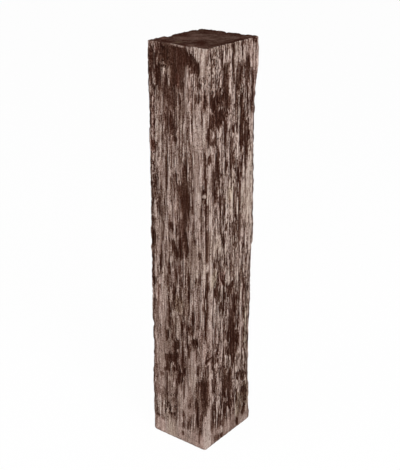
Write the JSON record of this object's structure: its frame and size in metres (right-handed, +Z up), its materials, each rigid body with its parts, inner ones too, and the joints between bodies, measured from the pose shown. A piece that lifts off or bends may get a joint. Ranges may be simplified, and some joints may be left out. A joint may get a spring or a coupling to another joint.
{
  "type": "concrete palisade",
  "caption": "Upright rectangular post of cast concrete with a deep riven timber grain, worn arrises and a flat sawn-look top, for edging and low retaining rows.",
  "frame": {"origin": "middle of the foot, on the ground", "axes": "+Z up along the post, +X to the right across the narrower sides, +Y from front to back"},
  "size_m": [0.102, 0.12, 0.6],
  "materials": {
    "grained_concrete": "matt cast concrete, chocolate brown in the hollows and worn to pale pinkish grey on the raised grain"
  },
  "bodies": {
    "root": {"palisade_post": "grained_concrete"}
  },
  "joints": []
}
